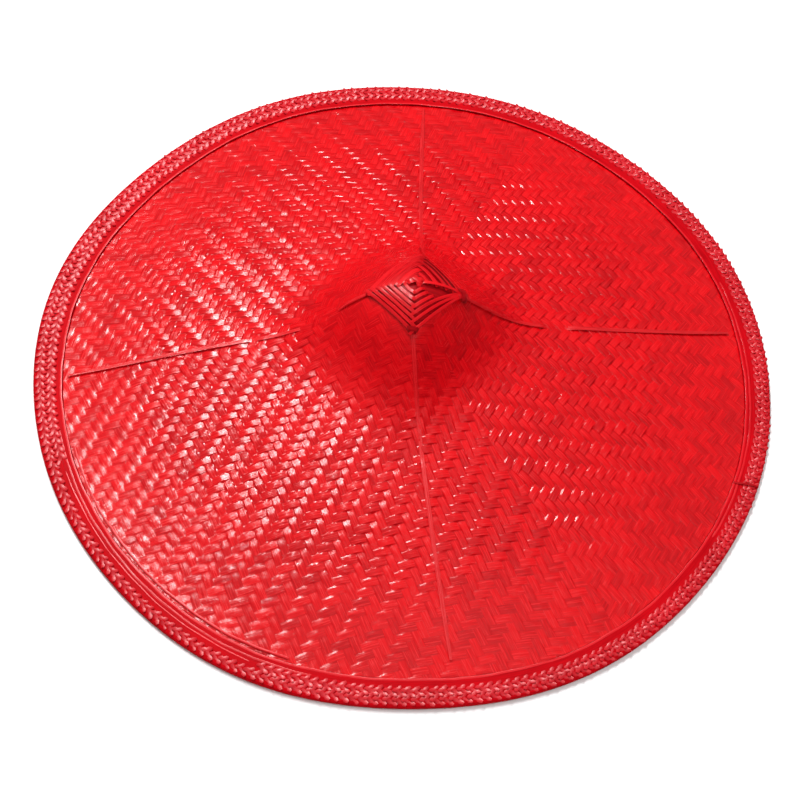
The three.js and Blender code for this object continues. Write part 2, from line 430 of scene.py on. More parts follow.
def sheet_sector(sector):
    """One sector of the lacquered plaiting, a closed mesh parted along every joint."""
    place, faces = sector_grid(sector)
    count = len(place)
    upper, lower = faces_with_neighbours(sector, place)
    share = lift_share(np.linalg.norm(place, axis=1))
    points = [laid_on_sheet(place, share * lifts + (1 - share) * out * SPLINT_FACE - SHEET_DEPTH)[0]
              for lifts, out in ((upper[:, 0], 1), (lower[:, 0], -1))]
    edges = {(p, q) for face in faces for p, q in zip(face, face[1:] + face[:1])}
    walls = [(q, p, p + count, q + count) for p, q in edges if (q, p) not in edges]
    under = [[p + count for p in reversed(face)] for face in faces]
    mesh = bpy.data.meshes.new(f"sheet_plaiting_{SECTOR_NAMES[sector]}")
    mesh.from_pydata((np.concatenate(points) * MM).tolist(), [], faces + under + walls)
    show_splints(mesh, sector, place, faces + under + walls, len(faces))
    joints = mesh.attributes.new("joint", "FLOAT", "POINT")
    joints.data.foreach_set("value", np.concatenate([upper[:, 1] * share, lower[:, 1]]).astype(np.float32))
    mesh.shade_smooth()
    mesh.set_sharp_from_angle(angle=math.radians(SHEET_SHARP_DEG))
    return mesh


sheet_lacquer = lacquered_splint("sheet_lacquer", (0.42, 0.001, 0.004), (0.68, 0.0015, 0.005), 0.18, 0.46)
for sector in range(3):
    mesh = sheet_sector(sector)
    piece = placed(mesh.name, mesh)
    mesh.materials.append(sheet_lacquer)
    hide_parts("hat_shell")
    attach(piece, "root")

# The edge braid. Narrow splints plaited into a flat braid, folded over the cut edge of the
# sheet and laced down; its inner part is a smooth split cane with a thin strand along it.
BRAID_UNDER_WIDTH = 16.7
SHEET_INSET = 3.5
# Slow waves in where the braid's inner side runs, as the rim's waves are given
BRAID_WAVES = ((1, 1.9, 122.0), (3, 0.85, 32.0))
# The outline of the braid's bed as insets from the rim and lifts over the sheet: under it,
# round the edge and back over it, then its slot for the sheet
BED_OUTLINE = (
    (16.7, -2.3), (16.2, -3.1), (12.0, -3.2), (6.0, -3.3), (3.0, -3.1), (1.3, -2.4), (0.6, -1.3),
    (0.8, -0.2), (1.9, 0.5), (3.6, 0.8), (7.2, 0.95), (10.8, 0.9), (12.2, 0.7), (15.0, 0.7), (16.6, 0.65),
)
BED_SLOT = ((17.2, 0.2), (3.2, 0.2), (3.2, -2.1), (16.7, -2.0))
# The bed's mesh: its steps round the hat, and its rows along the outline, in mm
BED_STEPS = 288
BED_ROW = 0.9
BED_SPLINT_WIDTH = 2.4
STITCH_COUNT = 263
STITCH_LENGTH = 5.6
STITCH_WIDTH = 2.5
STITCH_HEIGHT = 0.75
STITCH_ARCH = 0.8
STITCH_SLANT_DEG = 31.0
STITCH_LIFT = 0.35
FLOOR_GAP = 0.02
# The columns of stitches, four under the hat and four on top: how far each lies from the start
# of the bed's outline, in mm, and where the outline passes the rim
STITCH_COLUMNS = (3.4, 6.1, 8.8, 11.5, 21.6, 24.3, 27.0, 29.7)
RIM_AT = 18.0
# The stretch where the top has a single row of stitches: its middle and half its width
SINGLE_ROW_DEG = (228.0, 24.0)
# How much nearer the rim the top's stitches lie at the right, and how much more than that for
# each mm that they lie further in
STITCH_SHIFT = 0.9
STITCH_SHIFT_GROWTH = 0.25
# The thin strands: inset, width, and the part of the edge they run along, in degrees
STRANDS = (
    (16.3, 0.85, 0, 360),
    (13.2, 0.7, 196, 262),
    (10.6, 0.6, 203, 254),
    (19.2, 0.75, 202, 256),
    (13.9, 0.6, 330, 385),
)
STRAND_STEPS_PER_DEG = 1.1
STRAND_WANDER = 0.16
STRAND_FINE_WANDER = 0.1
# The lift at a strand's ends, how much higher the rest of it lies, and how long its ends are
STRAND_END_LIFT = 0.3
STRAND_RISE = 0.5
STRAND_END_DEG = 3
# The splint over the braid's ends: where it lies, its slant in degrees for each mm inwards,
# and its lifts as (inset, lift)
BRAID_END_DEG = -16.3
BRAID_END_SLANT = 0.06
BRAID_END_LIFTS = ((1.0, 0.9), (2.0, 1.5), (4.0, 1.8), (11.0, 1.7), (17.2, 0.9))
SPLINT_SHARP_DEG = 50


def node_tree_inputs(tree, sizes):
    tree.interface.new_socket("Geometry", in_out="INPUT", socket_type="NodeSocketGeometry")
    for name, kind, value in sizes:
        socket = tree.interface.new_socket(name, in_out="INPUT", socket_type=kind)
        if value is not None:
            socket.default_value = value
    tree.interface.new_socket("Geometry", in_out="OUTPUT", socket_type="NodeSocketGeometry")
    return tree.nodes.new("NodeGroupInput"), tree.nodes.new("NodeGroupOutput")


def splint_tree():
    """Sweeps a flat splint with rounded edges along each line of points it is given."""
    tree = bpy.data.node_groups.new("splint_along_line", "GeometryNodeTree")
    start, end = node_tree_inputs(
        tree,
        (
            ("Thickness", "NodeSocketFloat", 0.001),
            ("Flat Share", "NodeSocketFloat", 0.7),
            ("Twist", "NodeSocketFloat", 0.0),
            ("Twist Scale", "NodeSocketFloat", 60.0),
            ("Seed", "NodeSocketFloat", 1.0),
            ("Material", "NodeSocketMaterial", None),
        ),
    )
    sizes = start.outputs
    line = add_node(tree, "GeometryNodeMeshToCurve", {"Mesh": sizes["Geometry"]})
    out = add_node(tree, "GeometryNodeInputNamedAttribute", {"Name": "out"}, data_type="FLOAT_VECTOR")
    line = add_node(
        tree,
        "GeometryNodeSetCurveNormal",
        {"Curve": line.outputs[0], "Normal": out.outputs[0]},
        mode="FREE",
    )
    place = add_node(tree, "GeometryNodeInputPosition")
    noise = add_node(
        tree,
        "ShaderNodeTexNoise",
        {"Vector": place.outputs[0], "W": sizes["Seed"], "Scale": sizes["Twist Scale"], "Detail": 1.0},
        noise_dimensions="4D",
    )
    twist = maths(tree, "MULTIPLY", maths(tree, "SUBTRACT", noise.outputs[0], 0.5), sizes["Twist"])
    line = add_node(tree, "GeometryNodeSetCurveTilt", {"Curve": line.outputs[0], "Tilt": twist})

    ring = add_node(tree, "GeometryNodeCurvePrimitiveCircle", {"Resolution": 6, "Radius": 1.0}, mode="RADIUS")
    corner = add_node(tree, "ShaderNodeSeparateXYZ", {"Vector": place.outputs[0]})
    cubed = maths(tree, "DIVIDE", maths(tree, "SUBTRACT", 0.5, sizes["Flat Share"]), 0.375)
    square = maths(tree, "MULTIPLY", corner.outputs[0], corner.outputs[0])
    spread = maths(tree, "ADD", maths(tree, "SUBTRACT", 1.0, cubed), maths(tree, "MULTIPLY", cubed, square))
    across = maths(tree, "MULTIPLY", corner.outputs[0], spread)
    kept = add_node(
        tree,
        "GeometryNodeStoreNamedAttribute",
        {"Geometry": ring.outputs[0], "Name": "across", "Value": across},
        data_type="FLOAT",
        domain="POINT",
    )
    height = maths(tree, "MULTIPLY", corner.outputs[1], maths(tree, "DIVIDE", sizes["Thickness"], 1.732))
    flat = add_node(tree, "ShaderNodeCombineXYZ", {"X": maths(tree, "MULTIPLY", across, 0.0001), "Y": height})
    ring = add_node(
        tree, "GeometryNodeSetPosition", {"Geometry": kept.outputs[0], "Position": flat.outputs[0]}
    )
    swept = add_node(
        tree,
        "GeometryNodeCurveToMesh",
        {"Curve": line.outputs[0], "Profile Curve": ring.outputs[0], "Fill Caps": True},
    )

    side = add_node(tree, "GeometryNodeInputNamedAttribute", {"Name": "side"}, data_type="FLOAT_VECTOR")
    share = add_node(tree, "GeometryNodeInputNamedAttribute", {"Name": "across"}, data_type="FLOAT")
    half = add_node(tree, "GeometryNodeInputNamedAttribute", {"Name": "half_width"}, data_type="FLOAT")
    move = add_node(
        tree,
        "ShaderNodeVectorMath",
        {0: side.outputs[0], "Scale": maths(tree, "MULTIPLY", share.outputs[0], half.outputs[0])},
        operation="SCALE",
    )
    wide = add_node(
        tree, "GeometryNodeSetPosition", {"Geometry": swept.outputs[0], "Offset": move.outputs[0]}
    )
    whole = add_node(tree, "GeometryNodeRealizeInstances", {"Geometry": wide.outputs[0]})
    lacquered = add_node(
        tree,
        "GeometryNodeSetMaterial",
        {"Geometry": whole.outputs[0], "Material": sizes["Material"]},
    )
    tree.links.new(lacquered.outputs[0], end.inputs[0])
    return tree


def made_by_nodes(name, mesh, tree, sizes):
    """The plain mesh that a node tree makes of a mesh, as one smooth piece."""
    piece = placed(name, mesh)
    modifier = piece.modifiers.new("make", "NODES")
    sockets = {item.name: item.identifier for item in tree.interface.items_tree if item.in_out == "INPUT"}
    modifier.node_group = tree
    for size, value in sizes.items():
        modifier[sockets[size]] = value
    bpy.context.view_layer.update()
    depsgraph = bpy.context.evaluated_depsgraph_get()
    plain = bpy.data.meshes.new_from_object(piece.evaluated_get(depsgraph))
    piece.modifiers.remove(modifier)
    piece.data = plain
    plain.name = name
    plain.shade_smooth()
    plain.set_sharp_from_angle(angle=math.radians(SPLINT_SHARP_DEG))
    return piece


def lines_mesh(name, splints, chance):
    """Lines of points for the splint tree: each with its width, its outward and side ways."""
    points, edges, values = [], [], {"out": [], "side": [], "half_width": [], "along": [], "splint": []}
    first = 0
    for splint in splints:
        place = splint["points"] * MM
        count = len(place)
        steps = np.linalg.norm(np.diff(place, axis=0), axis=1)
        tangent = np.gradient(place, axis=0)
        tangent /= np.linalg.norm(tangent, axis=1, keepdims=True)
        side = np.cross(splint["out"], tangent)
        side /= np.linalg.norm(side, axis=1, keepdims=True)
        points.append(place)
        edges += [(first + k, first + k + 1) for k in range(count - 1)]
        values["out"].append(np.cross(tangent, side))
        values["side"].append(side)
        values["half_width"].append(np.broadcast_to(splint["width"], count) * MM / 2)
        values["along"].append(np.concatenate([[0], np.cumsum(steps)]) + chance.uniform(0, FIBRE_SHIFT))
        values["splint"].append(np.full(count, chance.uniform()))
        first += count
    mesh = bpy.data.meshes.new(name + "_lines")
    mesh.from_pydata(np.concatenate(points).tolist(), edges, [])
    for key, parts in values.items():
        flat = np.concatenate(parts)
        kind, field = ("FLOAT_VECTOR", "vector") if flat.ndim == 2 else ("FLOAT", "value")
        attribute = mesh.attributes.new(key, kind, "POINT")
        attribute.data.foreach_set(field, np.ascontiguousarray(flat, np.float32).ravel())
    return mesh


splint_nodes = splint_tree()
chance = np.random.default_rng(7)


def swept_splints(name, splints, lacquer, thickness, flat_share, twist, twist_scale, seed):
    """Splints swept along their lines of points, as one piece."""
    sizes = {"Thickness": thickness * MM, "Flat Share": flat_share, "Twist": twist,
             "Twist Scale": twist_scale, "Seed": seed, "Material": lacquer}
    return made_by_nodes(name, lines_mesh(name, splints, chance), splint_nodes, sizes)


def on_edge(azimuth, inset, lift):
    """Points of the braid, from the direction, the inset from the rim and the lift."""
    share = smooth_share(inset, SHEET_INSET, BRAID_UNDER_WIDTH)
    radius = RIM_RADIUS - inset - share * wave_sum(BRAID_WAVES, azimuth)
    return over_sheet(radius * np.cos(azimuth), radius * np.sin(azimuth), lift)


# The bed's outline as a smooth curve, with the way along it in millimetres
bed_corners = np.array(BED_OUTLINE)
corner_reach = np.concatenate([[0], np.cumsum(np.hypot(*np.diff(bed_corners, axis=0).T))])
outline_reach = np.arange(-2, corner_reach[-1] + 2, 0.25)
smoothing = np.hanning(11)[1:-1] / np.hanning(11).sum()
outline_insets, outline_lifts = (
    np.convolve(np.interp(outline_reach, corner_reach, values), smoothing, "same") for values in bed_corners.T
)


def on_bed(azimuth, reach, lift):
    """Points of the bed's outside, or a lift above it, by their way along its outline."""
    def at(azimuth, reach):
        inset = np.interp(reach, outline_reach, outline_insets)
        return on_edge(azimuth, inset, np.interp(reach, outline_reach, outline_lifts))[0]

    points = at(azimuth, reach)
    round_rim = at(azimuth + 1e-3, reach) - at(azimuth - 1e-3, reach)
    over_bed = at(azimuth, reach + 0.2) - at(azimuth, reach - 0.2)
    out = np.cross(over_bed, round_rim)
    out /= np.linalg.norm(out, axis=-1, keepdims=True)
    return points + out * lift[..., None]


def braid_bed():
    """The smooth bed under the stitches: its outline carried round the hat, with its slot."""
    reach = np.arange(0, corner_reach[-1] + 0.1, BED_ROW)
    azimuth = np.radians(np.arange(BED_STEPS) * 360 / BED_STEPS)[:, None]
    outside = on_bed(azimuth + 0 * reach, reach + 0 * azimuth, 0 * azimuth + 0 * reach)
    slot = np.array(BED_SLOT)
    inside, _ = on_edge(azimuth, slot[:, 0] + 0 * azimuth, slot[:, 1] + 0 * azimuth)
    points = np.concatenate([outside, inside], 1)
    count = points.shape[1]
    faces = []
    for k in range(BED_STEPS):
        for j in range(count):
            here, there = k * count, ((k + 1) % BED_STEPS) * count
            faces.append((here + j, here + (j + 1) % count, there + (j + 1) % count, there + j))
    mesh = bpy.data.meshes.new("edge_braid_bed")
    mesh.from_pydata((points.reshape(-1, 3) * MM).tolist(), [], faces)
    grid = (BED_STEPS, count)
    along = np.broadcast_to(azimuth * RIM_RADIUS * MM, grid)
    across = np.concatenate([reach, np.zeros(len(slot))]) / BED_SPLINT_WIDTH
    set_splint_values(mesh, along, np.broadcast_to(across, grid), np.full(grid, 0.4))
    mesh.shade_smooth()
    return mesh


def stitch_mesh():
    """One short splint of the braid: a narrow arched leaf, its ends tucked down."""
    stations = ((-0.5, 0.5), (-0.3, 0.88), (0.0, 1.0), (0.3, 0.88), (0.5, 0.5))
    ring = ((1, -0.25), (0.78, 0.4), (0.3, 0.75), (-0.3, 0.75), (-0.78, 0.4), (-1, -0.25), (0, -0.7))
    points, along, across = [], [], []
    for x, wide in stations:
        for y, z in ring:
            drop = (2 * x) ** 2 * STITCH_ARCH
            points.append((x * STITCH_LENGTH * MM, y * wide * STITCH_WIDTH / 2 * MM,
                           (z * STITCH_HEIGHT - drop) * MM))
            along.append(x * STITCH_LENGTH * MM)
            across.append(y)
    count = len(ring)
    faces = [tuple(range(count)), tuple(range(len(points) - 1, len(points) - 1 - count, -1))]
    for k in range(len(stations) - 1):
        for j in range(count):
            a, b = k * count + j, k * count + (j + 1) % count
            faces.append((b, a, a + count, b + count))
    mesh = bpy.data.meshes.new("stitch")
    mesh.from_pydata(points, [], faces)
    set_splint_values(mesh, along, across, np.zeros(len(points)))
    return mesh


def stitch_tree():
    """Lays a stitch on each point of the braid while it is still flat, turned by its slant."""
    tree = bpy.data.node_groups.new("stitch_on_points", "GeometryNodeTree")
    start, end = node_tree_inputs(
        tree,
        (
            ("Stitch", "NodeSocketObject", None),
            ("Uneven Turn", "NodeSocketFloat", 0.06),
            ("Uneven Size", "NodeSocketFloat", 0.06),
            ("Seed", "NodeSocketInt", 5),
            ("Material", "NodeSocketMaterial", None),
        ),
    )
    sizes = start.outputs
    stitch = add_node(tree, "GeometryNodeObjectInfo", {"Object": sizes["Stitch"]})
    slant = add_node(tree, "GeometryNodeInputNamedAttribute", {"Name": "slant"}, data_type="FLOAT")

    def random_value(shift):
        inputs = {2: -1.0, 3: 1.0, "Seed": maths(tree, "ADD", sizes["Seed"], shift)}
        return add_node(tree, "FunctionNodeRandomValue", inputs, data_type="FLOAT").outputs[1]

    tip = maths(tree, "MULTIPLY", random_value(1.0), sizes["Uneven Turn"])
    turn = maths(tree, "MULTIPLY", random_value(2.0), sizes["Uneven Turn"])
    slanted = maths(tree, "ADD", slant.outputs[0], turn)
    angle = add_node(tree, "ShaderNodeCombineXYZ", {"Y": tip, "Z": slanted})
    scale = maths(tree, "ADD", 1.0, maths(tree, "MULTIPLY", random_value(3.0), sizes["Uneven Size"]))
    laid = add_node(
        tree,
        "GeometryNodeInstanceOnPoints",
        {"Points": sizes["Geometry"], "Instance": stitch.outputs["Geometry"], "Rotation": angle.outputs[0],
         "Scale": scale},
    )
    tint = maths(tree, "MULTIPLY_ADD", random_value(4.0), 0.5, 0.5)
    kept = add_node(
        tree,
        "GeometryNodeStoreNamedAttribute",
        {"Geometry": laid.outputs[0], "Name": "splint", "Value": tint},
        data_type="FLOAT",
        domain="INSTANCE",
    )
    whole = add_node(tree, "GeometryNodeRealizeInstances", {"Geometry": kept.outputs[0]})
    lacquered = add_node(
        tree, "GeometryNodeSetMaterial", {"Geometry": whole.outputs[0], "Material": sizes["Material"]}
    )
    tree.links.new(lacquered.outputs[0], end.inputs[0])
    return tree


def stitch_points():
    """The places of the stitches on the flat braid: its length along X, its outline along Y."""
    pitch = 2 * np.pi * RIM_RADIUS / STITCH_COUNT
    places, slants = [], []
    for column, distance in enumerate(STITCH_COLUMNS):
        x = (np.arange(STITCH_COUNT) + 0.5 * (column % 2)) * pitch
        degrees = np.degrees(x / RIM_RADIUS)
        # A single row keeps the two columns nearest the rim
        if distance > STITCH_COLUMNS[5]:
            x = x[np.abs(degrees - SINGLE_ROW_DEG[0]) > SINGLE_ROW_DEG[1]]
        right = 0.5 + 0.5 * np.cos(x / RIM_RADIUS)
        further_in = distance - STITCH_COLUMNS[4]
        shift = (distance > RIM_AT) * right**2 * (STITCH_SHIFT + STITCH_SHIFT_GROWTH * further_in)
        places.append(np.stack([x, distance - shift, np.full_like(x, STITCH_LIFT)], -1))
        slants.append(np.full(len(x), math.radians(STITCH_SLANT_DEG) * (1 if column % 2 else -1)))
    mesh = bpy.data.meshes.new("stitch_places")
    mesh.from_pydata((np.concatenate(places) * MM).tolist(), [], [])
    slant = mesh.attributes.new("slant", "FLOAT", "POINT")
    slant.data.foreach_set("value", np.concatenate(slants).astype(np.float32))
    return mesh


def bend_round_rim(piece):
    """Lays the flat braid round the hat's edge."""
    flat = np.empty(len(piece.data.vertices) * 3, np.float32)
    piece.data.vertices.foreach_get("co", flat)
    flat = flat.reshape(-1, 3).astype(float) / MM
    laid = on_bed(flat[:, 0] / RIM_RADIUS, flat[:, 1], flat[:, 2])
    laid[:, 2] = np.maximum(laid[:, 2], FLOOR_GAP)
    piece.data.vertices.foreach_set("co", (laid * MM).astype(np.float32).ravel())
    piece.data.update()


bed_lacquer = lacquered_splint("bed_lacquer", (0.34, 0.001, 0.004), (0.54, 0.0015, 0.006), 0.5, 0.04)
bed = placed("edge_braid_bed", braid_bed())
bed.data.materials.append(bed_lacquer)
braid_lacquer = lacquered_splint("braid_lacquer", (0.46, 0.005, 0.011), (0.74, 0.018, 0.030), 0.32, 0.66)
stitch = placed("stitch", stitch_mesh())
stitches = made_by_nodes(
    "edge_braid_stitches",
    stitch_points(),
    stitch_tree(),
    {"Stitch": stitch, "Uneven Turn": 0.14, "Uneven Size": 0.09, "Seed": 5, "Material": braid_lacquer},
)
bpy.data.objects.remove(stitch)
bend_round_rim(stitches)
strand_lines = []
for inset, width, low, high in STRANDS:
    azimuth = np.radians(np.linspace(low, high, int((high - low) * STRAND_STEPS_PER_DEG) + 2))
    wander = STRAND_WANDER * np.sin(23 * azimuth + inset) + STRAND_FINE_WANDER * np.sin(61 * azimuth + 1)
    ends = 1.0
    if high - low < 360:
        bends = (low, low + STRAND_END_DEG, high - STRAND_END_DEG, high)
        ends = np.interp(np.degrees(azimuth), bends, (0, 1, 1, 0))
    lift = STRAND_END_LIFT + STRAND_RISE * ends + 0 * azimuth
    strand_points, strand_out = on_edge(azimuth, inset + wander, lift)
    strand_lines.append({"points": strand_points, "out": strand_out, "width": width})
strand_lacquer = lacquered_splint("strand_lacquer", (0.46, 0.002, 0.006), (0.72, 0.004, 0.011), 0.3, 0.5)
strand = swept_splints("edge_braid_strand", strand_lines, strand_lacquer,
                       thickness=0.8, flat_share=0.5, twist=0.3, twist_scale=40.0, seed=6.0)
# The braid's end, laid across it where it meets its beginning, in a darker lacquer; the same lacquer paints
# shade on the cap's mound and corner knots
pooled_lacquer = lacquered_splint("pooled_lacquer", (0.24, 0.0008, 0.003), (0.46, 0.0012, 0.005), 0.45, 0.15)
end_insets = np.linspace(BRAID_END_LIFTS[0][0], BRAID_END_LIFTS[-1][0], 24)
end_lifts = np.interp(end_insets, *np.array(BRAID_END_LIFTS).T)
end_azimuth = np.radians(BRAID_END_DEG - BRAID_END_SLANT * end_insets)
end_points, end_out = on_edge(end_azimuth, end_insets, end_lifts)
end_splint = swept_splints("edge_braid_end", [{"points": end_points, "out": end_out, "width": 1.1}],
                           pooled_lacquer, thickness=0.7, flat_share=0.5, twist=0.2,
                           twist_scale=40.0, seed=3.0)
for piece in (bed, stitches, strand, end_splint):
    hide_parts("edge_braid")
    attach(piece, "root")

# The splints on the creases. Four flat splints run from the corners of the cap down the
# creases and out over the brim, each to a point; the right and the left one dive under the
# plaiting on the way.
CAP_CORNERS = {"right": (28.5, 4.5), "back": (5.6, 34.0), "left": (-22.4, -2.4), "front": (3.0, -24.0)}
CREASE_SPLINTS = (
    # name, tip in plan, bow to the left, lifts as (distance from the cap's corner, lift)
    ("right", (184.5, 40.5), -1.2,
     ((0, 0.3), (6, 0.2), (12, 0.75), (47, 0.75), (51, -0.9), (60, -0.9), (65, 0.75), (161, 0.7))),
    ("back", (-1.7, 189.5), 1.1, ((0, -0.1), (8, 0.1), (60, 0.15), (75, 0.5), (158, 0.4))),
    ("left", (-187.5, -27.2), -1.9,
     ((0, 0.5), (12, 0.5), (17, -0.9), (33, -0.9), (38, 0.3), (59, 0.3), (62, -0.9), (65, 0.8), (168, 0.8))),
    ("front", (37.5, -181.0), -0.8, ((0, -0.2), (54, 0.0), (58, 0.7), (161, 0.7))),
)
CREASE_SPLINT_WIDTH = 1.9
CREASE_SPLINT_THICKNESS = 1.1
# The gap at the cap's corner, the length of the tapered end, and the share of the width that
# is left at its tip
CREASE_GAP = 0.5
CREASE_TAPER = 22
CREASE_TIP_SHARE = 0.22


def softened(lifts):
    """A row of lifts with its bends rounded."""
    return np.convolve(np.pad(lifts, 2, "edge"), (0.1, 0.25, 0.3, 0.25, 0.1), "valid")


crease_lacquer = lacquered_splint("crease_lacquer", (0.40, 0.0015, 0.004), (0.66, 0.003, 0.007), 0.22, 0.8)
for side_name, tip, bow, lifts in CREASE_SPLINTS:
    corner, tip = np.array(CAP_CORNERS[side_name]), np.array(tip)
    length = np.linalg.norm(tip - corner) - CREASE_GAP
    along = (tip - corner) / np.linalg.norm(tip - corner)
    across = np.array([-along[1], along[0]])
    reach = np.linspace(0, length, 120)
    straight = corner + along * (reach + CREASE_GAP)[:, None]
    line = straight + across * (bow * np.sin(np.pi * reach / length))[:, None]
    points, out = over_sheet(line[:, 0], line[:, 1], softened(np.interp(reach, *np.array(lifts).T)))
    width = CREASE_SPLINT_WIDTH * np.clip((length - reach) / CREASE_TAPER, CREASE_TIP_SHARE, 1)
    piece = swept_splints(f"crease_splint_{side_name}", [{"points": points, "out": out, "width": width}],
                          crease_lacquer, thickness=CREASE_SPLINT_THICKNESS, flat_share=0.6, twist=0.25,
                          twist_scale=30.0, seed=8.0)
    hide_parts(f"rib_{side_name}")
    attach(piece, "root")

# The cap. Folded splints wound side by side round the top of the crown, one row inside the
# other, so that their folds make four ridges that meet in a small knot.
CAP_CENTRE = (2.4, 1.5)
CAP_SPLINT_THICKNESS = 0.85
CAP_KNOT_THICKNESS = 1.2
# The mound under the splints, from its edge to its middle: share of the way out, and lift
CAP_BASE = ((0.95, 0.0), (0.93, 0.3), (0.6, 0.4), (0.2, 0.8), (0.0, 1.3))
# Along each side: where the lift of its splints' middles is given, and those lifts
CAP_LIFTS_AT = (-0.06, 0.0, 0.14, 0.4, 0.7, 0.9, 1.0, 1.06)
CAP_ROWS = (
    # from corner, to corner, shares of the way out there, width, bow outwards, ends at, lifts
    *(("left", "front", share, share, 1.6, 0.5, 1.0, (1.7, 2.1, 1.2, 1.0, 1.1, 1.6, 1.9, 0.5))
      for share in (0.26, 0.4, 0.53, 0.65, 0.76, 0.87, 0.97)),
    *(("front", "right", share, 1 - 0.3 * (1 - share), 1.5, 3.4 * share - 2.8, end,
       (1.2, 2.2, 2.4, 1.3, 0.8, 1.3, 2.0, 1.2))
      for share, end in ((0.24, 0.26), (0.38, 0.36), (0.52, 0.5), (0.66, 1.0), (0.81, 1.0), (0.96, 1.0))),
    *(("right", "back", share, share, 1.3, 1.2, 1.0, (1.3, 1.9, 1.5, 1.1, 0.9, 0.7, 0.6, 0.3))
      for share in (0.74, 0.86, 0.98)),
    *(("right", "back", share, share, 2.9, 0.8, 1.0, (1.2, 1.8, 1.3, 0.9, 0.8, 0.7, 0.6, 0.3))
      for share in (0.24, 0.42, 0.6)),
    *(("back", "left", share, share, 3.5, 0.8, 1.0, (0.3, 0.6, 0.6, 0.6, 0.7, 0.9, 1.6, 1.2))
      for share in (0.2, 0.36, 0.52, 0.68, 0.82, 0.95)),
)
# How uneven the folded splints are: in their shares of the way out, in lift, and the least and
# the most of their width; and the share of it that they keep at the right corner
CAP_SHARE_UNEVEN = 0.008
CAP_LIFT_UNEVEN = 0.08
CAP_WIDTH_UNEVEN = (0.93, 1.07)
CAP_RIGHT_NARROWING = 0.75
# How far a splint runs past its end, and how long and how deep the tuck of a short one is
CAP_OVERRUN = 0.04
CAP_TUCK_LENGTH = 0.12
CAP_TUCK = 1.6
# The top knot's three splints and the one on the right ridge: from, to, width, lift
CAP_TIES = (
    ((-1.6, 0.2), (6.0, 3.4), 2.6, 2.9),
    ((4.0, -2.4), (1.2, 5.0), 2.2, 3.4),
    ((-0.4, 3.4), (5.2, -0.6), 1.5, 3.7),
    ((4.4, 1.8), (26.0, 4.4), 1.7, 2.3),
)
# The same for the knots at the corners: three on the right, two in front, one on the left
CORNER_KNOTS = (
    ((24.4, 7.0), (29.4, 1.2), 2.5, 2.4),
    ((25.2, 1.8), (30.4, 6.2), 2.2, 2.3),
    ((27.2, 0.6), (27.6, 7.6), 1.6, 2.8),
    ((0.0, -22.0), (5.6, -22.6), 2.6, 2.4),
    ((1.0, -23.6), (4.8, -23.8), 1.8, 1.6),
    ((-22.6, -3.8), (-21.2, 0.0), 1.4, 1.6),
)
# How far the ends of a tie are tucked down, and how far the rest of it arches
TIE_TUCK = 0.9
TIE_ARCH = 0.2


def cap_way(first, second, first_share, second_share, bow, along):
    """A bowed way over the cap from one ridge to the next, given by its shares of the ridges."""
    centre = np.array(CAP_CENTRE)
    start = centre + (np.array(CAP_CORNERS[first]) - centre) * first_share
    finish = centre + (np.array(CAP_CORNERS[second]) - centre) * second_share
    outwards = np.array([finish[1] - start[1], start[0] - finish[0]])
    outwards /= max(np.linalg.norm(outwards), 1e-6)
    along = np.asarray(along)[:, None]
    return start + (finish - start) * along + outwards * bow * np.sin(np.pi * np.clip(along, 0, 1))


def cap_base():
    """The low mound under the cap's splints, closed below."""
    names = list(CAP_CORNERS)
    rows = []
    for share, lift in ((0.0, 0.0), (0.5, 0.0), *CAP_BASE):
        plan = np.concatenate([
            cap_way(names[side], names[(side + 1) % 4], max(share, 0.02), max(share, 0.02), share,
                    np.linspace(0, 1, 8, endpoint=False))
            for side in range(4)
        ])
        points, _ = over_sheet(plan[:, 0], plan[:, 1], np.full(len(plan), lift))
        rows.append(points)
    count = len(rows[0])
    faces = [tuple(range(count - 1, -1, -1))]
    for k in range(len(rows) - 1):
        for j in range(count):
            a, b = k * count + j, k * count + (j + 1) % count
            faces.append((a, b, b + count, a + count))
    faces.append(tuple((len(rows) - 1) * count + j for j in range(count)))
    mesh = bpy.data.meshes.new("crown_cap_base")
    points = np.concatenate(rows)
    mesh.from_pydata((points * MM).tolist(), [], faces)
    set_splint_values(mesh, points[:, 0] * MM, points[:, 1] / 3, np.full(len(points), 0.0))
    mesh.shade_smooth()
    return mesh


def cap_splints():
    """The folded splints, each bowed from one ridge of the cap to the next."""
    splints = []
    for first, second, first_share, second_share, width, bow, end, lifts in CAP_ROWS:
        along = np.linspace(CAP_LIFTS_AT[0], min(end, CAP_LIFTS_AT[-1]) + CAP_OVERRUN, 26)
        shares = [share + chance.normal(0, CAP_SHARE_UNEVEN) for share in (first_share, second_share)]
        line = cap_way(first, second, *shares, bow, along)
        lift = softened(np.interp(along, CAP_LIFTS_AT, lifts)) + chance.normal(0, CAP_LIFT_UNEVEN)
        if end < 1:
            lift = lift - CAP_TUCK * smooth_share(along, end - CAP_TUCK_LENGTH, end + CAP_OVERRUN)
        points, out = over_sheet(line[:, 0], line[:, 1], lift)
        last = CAP_RIGHT_NARROWING if second == "right" else 1.0
        width = width * np.interp(along, (0, 0.5, 1.0), (1.0, 1.0, last)) * chance.uniform(*CAP_WIDTH_UNEVEN)
        splints.append({"points": points, "out": out, "width": width})
    return splints


def short_ties(ties):
    """Short splints laid over the cap with their ends tucked down."""
    splints = []
    for start, finish, width, lift in ties:
        start, finish = np.array(start), np.array(finish)
        along = np.linspace(-1, 1, 15)
        line = (start + finish) / 2 + along[:, None] * (finish - start) / 2
        points, out = over_sheet(line[:, 0], line[:, 1], lift - TIE_TUCK * along**6 - TIE_ARCH * along**2)
        splints.append({"points": points, "out": out, "width": width})
    return splints


